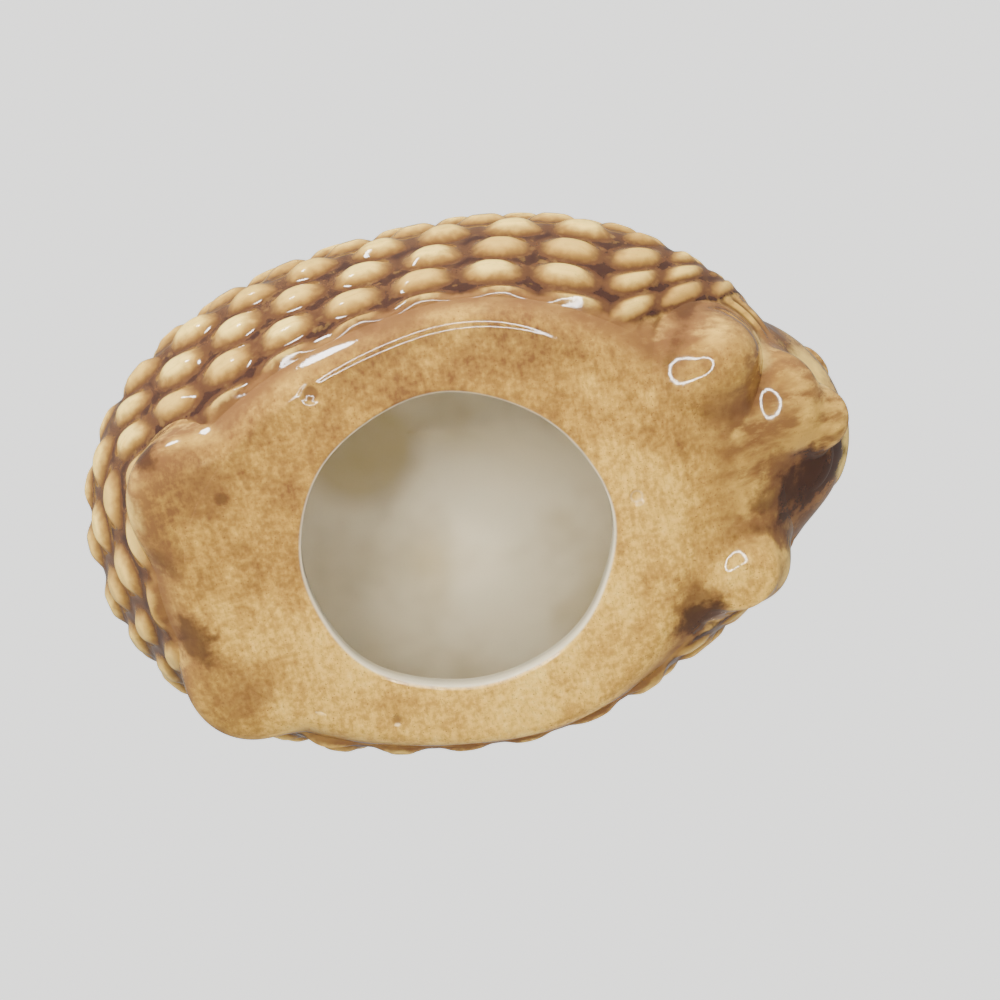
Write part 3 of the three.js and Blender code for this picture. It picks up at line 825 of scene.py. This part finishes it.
DEEP = rgb(0.040, 0.016, 0.010)
GROOVE = rgb(0.095, 0.040, 0.016)
BROWN = rgb(0.20, 0.090, 0.030)
AMBER = rgb(0.35, 0.185, 0.038)
HONEY = rgb(0.55, 0.310, 0.056)
STRAW = rgb(0.80, 0.49, 0.090)
CREAM = rgb(0.95, 0.66, 0.16)
LIP = rgb(0.88, 0.78, 0.54)
INSIDE = rgb(0.74, 0.66, 0.46)
OLIVE = rgb(0.42, 0.33, 0.15)
EYE_DARK = rgb(0.012, 0.008, 0.006)
EYE_PALE = rgb(0.03, 0.02, 0.014)
GLAZE_IOR = 1.5
GLAZE_COAT_ROUGHNESS = 0.03
PEEL_DEPTH = 0.05

# Dark pools of glaze, and painted shade in the hollow between the head and the left foot: where, how wide,
# and how strong.
POOLS_AND_SHADE = (
    ((62.6, 6.5, 10.7), 8.0, 0.9),
    ((68.9, 5.6, 15.2), 7.0, 0.95),
    # painted shade in the hollow between the head and the left foot, in this entry and the next
    ((56.9, 8.5, 8.0), 6.5, 0.85),
    ((53.5, 7.5, 6.0), 6.0, 0.6),
    ((44.2, -30.3, 12.1), 5.0, 0.7),
    ((54.0, -23.5, 7.5), 6.0, 0.45),
    ((46.5, -14.0, 2.8), 6.0, 0.35),
    ((56.0, -3.0, 8.0), 11.0, 0.3),
    ((35.2, 21.5, 2.0), 6.0, 0.5),
    ((36.5, 25.5, 3.5), 6.0, 0.8),
    ((43.0, 26.0, 5.0), 4.0, 0.5),
    ((32.9, -34.3, 8.0), 5.0, 0.5),
    ((-4.3, -40.9, 3.0), 5.0, 0.45),
    ((-10.0, -41.5, 4.0), 3.0, 0.5),
    ((-33.1, -36.8, 7.3), 4.0, 0.85),
    ((-39.1, -34.3, 8.4), 4.5, 0.85),
    ((-51.3, -27.3, 5.0), 4.0, 0.8),
    ((-53.3, -10.3, 1.8), 4.5, 0.6),
    ((-53.5, 6.3, 1.8), 6.0, 0.7),
    ((-47.2, 17.4, 0.5), 6.0, 0.35),
    ((-40.8, -18.2, 0.0), 1.6, 0.6),
    ((-43.0, -19.8, 0.0), 5.5, 0.35),
)

# Pale places where the glaze ran thin, in the same order.
THINS = (
    ((72.3, 3.5, 19.0), 3.5, 0.9),
    ((70.5, 9.5, 17.0), 3.0, 0.9),
    ((67.0, -12.0, 17.0), 6.0, 0.6),
    ((54.0, 21.5, 7.0), 4.0, 0.75),
    ((52.5, 27.0, 9.0), 4.0, 0.6),
    ((54.5, -19.0, 12.0), 4.0, 0.5),
    ((-57.5, -19.0, 5.0), 4.0, 0.6),
)


def glaze(name, roughness=(0.04, 0.10), coat=0.25):
    """A new glaze: its tree, its shader, and a millimetre grid that all pieces share."""
    material = bpy.data.materials.new(name)
    material.use_nodes = True
    tree = material.node_tree
    shader = tree.nodes["Principled BSDF"]
    shader.inputs["IOR"].default_value = GLAZE_IOR
    shader.inputs["Coat Weight"].default_value = coat
    shader.inputs["Coat Roughness"].default_value = GLAZE_COAT_ROUGHNESS
    coordinates = add_node(tree, "ShaderNodeTexCoord").outputs["Object"]
    grid = add_node(tree, "ShaderNodeVectorMath", {"operation": "SCALE"}, {"Vector": coordinates})
    grid.inputs["Scale"].default_value = 1 / MM
    gloss = between(tree, noise(tree, grid.outputs[0], 0.25), 0.3, 0.7, *roughness)
    tree.links.new(gloss, shader.inputs["Roughness"])
    return material, tree, shader, grid.outputs[0]


def finish_glaze(tree, shader, grid, colour, bump=0.2):
    """Colour, and a faint orange-peel bump."""
    tree.links.new(colour, shader.inputs["Base Color"])
    inputs = {"Strength": bump, "Distance": PEEL_DEPTH * MM, "Height": noise(tree, grid, 1.2, 4.0)}
    peel = add_node(tree, "ShaderNodeBump", None, inputs)
    tree.links.new(peel.outputs["Normal"], shader.inputs["Normal"])
    tree.links.new(peel.outputs["Normal"], shader.inputs["Coat Normal"])


def stretched(tree, grid, scale):
    return add_node(tree, "ShaderNodeMapping", None, {"Vector": grid, "Scale": scale}).outputs[0]


def range_to(tree, grid, place):
    inputs = {0: grid, 1: place}
    return add_node(tree, "ShaderNodeVectorMath", {"operation": "DISTANCE"}, inputs).outputs["Value"]


def nearness(tree, grid, places):
    """How near a point is to places, each with its width and strength, with ragged edges."""
    ragged = between(tree, noise(tree, grid, 0.22, 6.0, 0.62), 0.25, 0.75, -0.4, 0.4)
    nearest = 0.0
    for place, wide, strength in places:
        near = combine(tree, "DIVIDE", range_to(tree, grid, place), wide)
        share = between(tree, combine(tree, "ADD", near, ragged), 0.35, 1.35, strength, 0.0)
        nearest = combine(tree, "MAXIMUM", share, nearest)
    return nearest


def pooled_and_shaded(tree, grid, colour):
    """Darkens a colour in the glaze pools and with painted shade between the head and the left foot, and
    lightens it where the glaze ran thin.
    """
    depth = nearness(tree, grid, POOLS_AND_SHADE)
    # darkens towards brown and deep brown: glaze pools, and painted shade by the head
    colour = tint(tree, colour, depth, 0.0, 0.55, BROWN, 0.8)
    colour = tint(tree, colour, depth, 0.3, 0.95, DEEP, 0.95)
    return mix_colour(tree, nearness(tree, grid, THINS), colour, CREAM)


def speckled(tree, grid, colour, amount):
    return tint(tree, colour, noise(tree, grid, 2.4, 2.0), 0.65, 0.7, BROWN, amount)


def bare_colour(tree, grid):
    """Mottled amber glaze of the smooth parts: streaked towards the head, dark in folds, and dark in
    corners from glaze pools and painted shade.
    """
    colour = tint(tree, STRAW, noise(tree, grid, 0.08, 4.0), 0.38, 0.62, AMBER)
    along = stretched(tree, grid, (0.09, 0.24, 0.2))
    colour = tint(tree, colour, noise(tree, along, 1.0, 5.0, 0.55), 0.36, 0.6, BROWN, 0.95)
    thin = stretched(tree, grid, (0.3, 0.8, 0.6))
    colour = tint(tree, colour, noise(tree, thin, 1.0, 4.0, 0.65), 0.48, 0.75, STRAW, 0.55)
    ragged = between(tree, noise(tree, grid, 0.3, 5.0, 0.65), 0.25, 0.75, -0.2, 0.2)
    # darker in the corners between feet, head and body: partly glaze pools, partly painted shade
    corner = combine(tree, "ADD", attribute(tree, "crease_pool_and_shade"), ragged)
    colour = tint(tree, colour, corner, 0.2, 0.65, BROWN, 0.85)
    colour = tint(tree, colour, corner, 0.6, 1.0, GROOVE, 0.85)
    band = combine(tree, "ADD", attribute(tree, "band"), ragged)
    colour = tint(tree, colour, band, 0.15, 0.9, BROWN, 0.8)
    colour = tint(tree, colour, attribute(tree, "strand"), 0.05, -0.8, GROOVE, 0.85)
    return speckled(tree, grid, colour, 0.4)


def underside_colour(tree, grid):
    """The flat foot: amber at the bird's right and rear, paler to its left, clouded and finely grained."""
    places = add_node(tree, "ShaderNodeSeparateXYZ", None, {0: grid}).outputs
    tone = between(tree, places[1], -36.0, 40.0, 0.0, 0.55)
    tone = combine(tree, "ADD", tone, between(tree, places[0], -58.0, -28.0, -0.25, 0.0))
    brushed = stretched(tree, grid, (0.9, 0.2, 0.9))
    clouds = ((grid, 0.05, 0.6), (grid, 0.16, 0.25), (grid, 0.8, 0.3), (brushed, 1.0, 0.22))
    for where, scale, share in clouds:
        cloud = between(tree, noise(tree, where, scale, 5.0, 0.65), 0.3, 0.7, -share / 2, share / 2)
        tone = combine(tree, "ADD", tone, cloud)
    colour = tint(tree, BROWN, tone, -0.45, 0.0, AMBER)
    colour = tint(tree, colour, tone, -0.1, 0.3, HONEY)
    colour = tint(tree, colour, tone, 0.2, 0.6, STRAW)
    colour = tint(tree, colour, tone, 0.5, 1.0, CREAM)
    short = stretched(tree, grid, (1.6, 0.6, 1.0))
    colour = tint(tree, colour, noise(tree, short, 1.0, 5.0, 0.7), 0.5, 0.7, AMBER, 0.5)
    return speckled(tree, grid, colour, 0.8)


def smooth_glaze(name):
    """The glaze of foot, head and lumps, which turns from one tone to the other up the rolled edge."""
    material, tree, shader, grid = glaze(name)
    side = between(tree, attribute(tree, "side"), 0.05, 0.9)
    colour = mix_colour(tree, side, underside_colour(tree, grid), bare_colour(tree, grid))
    colour = pooled_and_shaded(tree, grid, colour)
    colour = tint(tree, colour, attribute(tree, "lip"), 0.3, 0.8, LIP)
    colour = tint(tree, colour, attribute(tree, "mark"), 0.2, 0.7, BROWN, 0.85)
    colour = tint(tree, colour, attribute(tree, "mark"), -0.2, -0.7, LIP, 0.6)
    finish_glaze(tree, shader, grid, colour)
    return material


def feather_glaze():
    material, tree, shader, grid = glaze("feather_glaze")
    ragged = between(tree, noise(tree, grid, 0.6, 4.0), 0.25, 0.75, -0.09, 0.09)
    crown = combine(tree, "ADD", attribute(tree, "crown"), ragged)
    streaks = stretched(tree, attribute(tree, "spot", "Vector"), (0.25, 1.5, 1.0))
    top = tint(tree, CREAM, noise(tree, streaks, 1.0, 4.0), 0.48, 0.72, STRAW, 0.75)
    top = tint(tree, top, attribute(tree, "tone"), 0.3, 1.0, HONEY, 0.7)
    top = tint(tree, top, attribute(tree, "skirt"), 0.0, 1.0, AMBER, 0.75)
    top = speckled(tree, grid, top, 0.3)
    pool = combine(tree, "ADD", attribute(tree, "pool"), combine(tree, "MULTIPLY", ragged, 3.0))
    groove = tint(tree, GROOVE, pool, 0.1, 0.9, DEEP)
    shoulder = tint(tree, groove, crown, 0.05, 0.55, AMBER)
    scale = tint(tree, shoulder, crown, 0.35, 0.95, top)
    edge = combine(tree, "ADD", attribute(tree, "feathered"), combine(tree, "MULTIPLY", ragged, 2.0))
    bare = pooled_and_shaded(tree, grid, bare_colour(tree, grid))
    colour = tint(tree, bare, edge, 0.35, 1.0, scale)
    finish_glaze(tree, shader, grid, colour)
    return material


INSIDE_SHADE = (-22.3, 1.3, 75.3)  # middle of the painted shade, an olive patch, on the inner wall


def inside_glaze():
    material, tree, shader, grid = glaze("inside_glaze", (0.5, 0.65), 0.0)
    colour = tint(tree, INSIDE, noise(tree, grid, 0.03, 3.0), 0.45, 0.7, OLIVE, 0.7)
    # painted shade: the inner wall turns olive round that place, as if shaded by the vent's edge
    colour = tint(tree, colour, range_to(tree, grid, INSIDE_SHADE), 16.0, 9.0, OLIVE, 0.75)
    colour = speckled(tree, grid, colour, 0.06)
    finish_glaze(tree, shader, grid, colour)
    return material


def two_tone_glaze(name, first, second):
    material, tree, shader, grid = glaze(name)
    colour = tint(tree, first, noise(tree, grid, 0.5, 4.0), 0.4, 0.7, second)
    finish_glaze(tree, shader, grid, colour)
    return material


def dress(piece, slot, material, *nodes):
    piece.data.materials.append(material)
    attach(piece, "root")
    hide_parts(*nodes)


CORNER = math.radians(50)  # a sharper edge isn't smoothed

coat = make_coat()
coat.data.set_sharp_from_angle(angle=CORNER)
feather_rows = [f"feather_row_{row + 1:02d}" for row in range(ROW_COUNT)]
dress(coat, "feather_glaze", feather_glaze(), *feather_rows, "crown_feather")
shell = make_shell()
shell.data.set_sharp_from_angle(angle=CORNER)
dress(shell, "body_glaze", inside_glaze(), "body_shell")
base = make_base()
base.data.set_sharp_from_angle(angle=CORNER)
base_material = smooth_glaze("base_glaze")
dress(base, "base_glaze", base_material, "base_plate")
dress(make_head(), "head_glaze", smooth_glaze("head_glaze"), "head")
foot_material = smooth_glaze("foot_glaze")
for side in ("left", "right"):
    dress(make_lump(f"{side}_foot", FOOT_FILLET), "foot_glaze", foot_material, f"{side}_foot")
    dress(make_lump(f"{side}_rear_lobe", LOBE_FILLET), "base_glaze", base_material, f"{side}_rear_lobe")
beak_material = smooth_glaze("beak_glaze")
for half, shape in BEAKS.items():
    dress(make_beak(half, *shape), "beak_glaze", beak_material, half)
eye_material = two_tone_glaze("eye_glaze", EYE_DARK, EYE_PALE)
for side, sign in (("left", LEFT), ("right", RIGHT)):
    dress(make_eye(f"{side}_eye", sign), "eye_glaze", eye_material, f"{side}_eye")


FLOOR_RADIUS = 3000.0
FLOOR_SIDES = 128
FLOOR_DROP = 0.05
STAGE_GLOW = 2.3
SHADOW_REACH = 90.0  # how far the figure's soft shadow reaches over the floor
SHADOW_SAMPLES = 2
PALE = rgb(0.80, 0.795, 0.78)
SHADE = rgb(0.20, 0.195, 0.19)


def glow_material(name, colour, strength):
    material = bpy.data.materials.new(name)
    material.use_nodes = True
    tree = material.node_tree
    glow = add_node(tree, "ShaderNodeEmission", None, {"Color": colour, "Strength": strength})
    tree.links.new(glow.outputs[0], tree.nodes["Material Output"].inputs["Surface"])
    return material


def camera_only(piece):
    piece.visible_diffuse = False
    piece.visible_glossy = False
    piece.visible_transmission = False
    piece.visible_shadow = False


def clear_from_behind(material):
    """Makes a stage surface clear where its back is seen."""
    tree = material.node_tree
    output = tree.nodes["Material Output"].inputs["Surface"]
    front = output.links[0].from_socket
    side = add_node(tree, "ShaderNodeNewGeometry").outputs["Backfacing"]
    clear = add_node(tree, "ShaderNodeBsdfTransparent").outputs[0]
    share = add_node(tree, "ShaderNodeMixShader", None, {0: side, 1: front, 2: clear})
    tree.links.new(share.outputs[0], output)


def make_floor():
    """The pale floor with a soft shadow: clear from below, as the photograph looks up at the foot."""
    turn = even_turn(FLOOR_SIDES)
    drop = np.full(FLOOR_SIDES, -FLOOR_DROP)
    ring = np.stack([FLOOR_RADIUS * np.cos(turn), FLOOR_RADIUS * np.sin(turn), drop], axis=-1)
    floor = add_piece("floor", ring, [list(range(FLOOR_SIDES))])
    material = glow_material("floor", PALE, STAGE_GLOW)
    tree = material.node_tree
    settings = {"samples": SHADOW_SAMPLES}
    open_sky = add_node(tree, "ShaderNodeAmbientOcclusion", settings, {"Distance": SHADOW_REACH * MM})
    colour = mix_colour(tree, open_sky.outputs["AO"], SHADE, PALE)
    tree.links.new(colour, tree.nodes["Emission"].inputs["Color"])
    clear_from_behind(material)
    floor.data.materials.append(material)
    camera_only(floor)


DOME_RINGS = 24
DOME_TOP = math.pi / 2 - 0.01


def make_dome():
    """A pale studio wall round the floor, as bright as the floor."""
    turn = even_turn(FLOOR_SIDES)
    lift = np.linspace(0, DOME_TOP, DOME_RINGS)[:, None]
    x, y, z = np.broadcast_arrays(np.cos(lift) * np.cos(turn), np.cos(lift) * np.sin(turn), np.sin(lift))
    points = FLOOR_RADIUS * np.stack([x, y, z], axis=-1)
    dome = add_piece("studio_wall", points.reshape(-1, 3), tube_faces(DOME_RINGS, FLOOR_SIDES, False))
    dome.data.materials.append(glow_material("studio_wall", PALE, STAGE_GLOW))
    camera_only(dome)


CARD_HEIGHT = 420.0
CARD_MIDDLE = (-18.0, 200.0)
CARD_HALF = 340.0


def make_card():
    """The pale surface behind the figure in the photograph's view."""
    x, y = CARD_MIDDLE
    ways = ((-1, -1), (-1, 1), (1, 1), (1, -1))
    corners = [(x + i * CARD_HALF, y + j * CARD_HALF, CARD_HEIGHT) for i, j in ways]
    card = add_piece("backdrop", corners, [[0, 1, 2, 3]])
    material = glow_material("backdrop", PALE, STAGE_GLOW)
    clear_from_behind(material)
    card.data.materials.append(material)
    camera_only(card)


BODY_MIDDLE = Vector((0.0, 0.0, 40.0))
KEY_DISTANCE = 480.0

# Soft lights: name, place, size, power, and whether they are seen in reflections.
SOFT_LIGHTS = (
    ("key", BODY_MIDDLE + KEY_DISTANCE * Vector(CAMERA_FORWARD), 240.0, 4.0, True),
    ("front_fill", (160.0, -420.0, 60.0), 400.0, 4.0, False),
    ("rear_fill", (-380.0, -160.0, 40.0), 400.0, 3.2, False),
    ("sparkle", (-170.0, -400.0, 20.0), 80.0, 0.9, True),
    ("side_fill", (120.0, 420.0, 200.0), 400.0, 6.2, False),
)

RING_RADIUS = 88.0
RING_TUBE = 5.5
RING_COLOUR = rgb(1.0, 0.97, 0.93)
RING_POWER = 56.0
RING_SIDES = (96, 16)


def make_ring_light():
    """A ring lamp round the lens."""
    turn = even_turn(RING_SIDES[0])
    tube = even_turn(RING_SIDES[1])
    right, down, forward = (np.array(v) for v in (CAMERA_RIGHT, CAMERA_DOWN, CAMERA_FORWARD))
    out = np.cos(turn)[:, None] * right + np.sin(turn)[:, None] * down
    reach = RING_RADIUS + RING_TUBE * np.cos(tube)
    points = reach[None, :, None] * out[:, None, :] + RING_TUBE * np.sin(tube)[None, :, None] * forward
    points = (points + np.array(CAMERA_AT)).reshape(-1, 3)
    lamp = add_piece("ring_lamp", points, tube_faces(*RING_SIDES, True))
    lamp.data.materials.append(glow_material("ring_lamp", RING_COLOUR, RING_POWER))
    lamp.visible_camera = False


def place_lamp(light, place, aim, mirrored):
    """Hangs a light at a place, turned to its aim, and seen in reflections when mirrored."""
    lamp = bpy.data.objects.new(light.name, light)
    lamp.visible_glossy = mirrored
    lamp.location = Vector(place) * MM
    lamp.rotation_euler = (Vector(aim) - Vector(place)).to_track_quat("-Z", "Y").to_euler()
    bpy.context.scene.collection.objects.link(lamp)


def add_soft_light(name, place, size, power, mirrored):
    """A round area light, turned to the middle of the body."""
    light = bpy.data.lights.new(name, "AREA")
    light.shape = "DISK"
    light.size = size * MM
    light.energy = power
    place_lamp(light, place, BODY_MIDDLE, mirrored)


VENT_LIGHT_RIGHT = -40.0  # from the camera
VENT_LIGHT_DOWN = -22.0
VENT_LIGHT_SIZE = 15.0
VENT_LIGHT_ANGLE = math.radians(12.5)
VENT_LIGHT_BLEND = 0.4
VENT_LIGHT_POWER = 1.6


def add_vent_light():
    """A spot beside the lens, which shines through the vent on the inner wall."""
    light = bpy.data.lights.new("vent_light", "SPOT")
    light.energy = VENT_LIGHT_POWER
    light.spot_size = VENT_LIGHT_ANGLE
    light.spot_blend = VENT_LIGHT_BLEND
    light.shadow_soft_size = VENT_LIGHT_SIZE * MM
    right = VENT_LIGHT_RIGHT * Vector(CAMERA_RIGHT)
    down = VENT_LIGHT_DOWN * Vector(CAMERA_DOWN)
    place_lamp(light, Vector(CAMERA_AT) + right + down, (VENT_X, 0.0, 0.0), False)


WORLD_COLOUR = rgb(0.9, 0.9, 0.9)
WORLD_STRENGTH = 0.3


def make_world():
    world = bpy.data.worlds.new("studio")
    bpy.context.scene.world = world
    world.use_nodes = True
    backdrop = world.node_tree.nodes["Background"]
    backdrop.inputs["Color"].default_value = WORLD_COLOUR
    backdrop.inputs["Strength"].default_value = WORLD_STRENGTH


def make_camera():
    data = bpy.data.cameras.new("camera")
    data.sensor_width = SENSOR_WIDTH
    data.angle = CAMERA_ANGLE
    data.clip_start = CLIP_START * MM
    camera = bpy.data.objects.new("camera", data)
    right, down, forward = (Vector(v) for v in (CAMERA_RIGHT, CAMERA_DOWN, CAMERA_FORWARD))
    turn = Matrix((right, -down, -forward)).transposed()
    camera.matrix_world = Matrix.Translation(Vector(CAMERA_AT) * MM) @ turn.to_4x4()
    bpy.context.scene.collection.objects.link(camera)
    bpy.context.scene.camera = camera


make_floor()
make_dome()
make_card()
make_ring_light()
make_world()
for soft_light in SOFT_LIGHTS:
    add_soft_light(*soft_light)
add_vent_light()
make_camera()
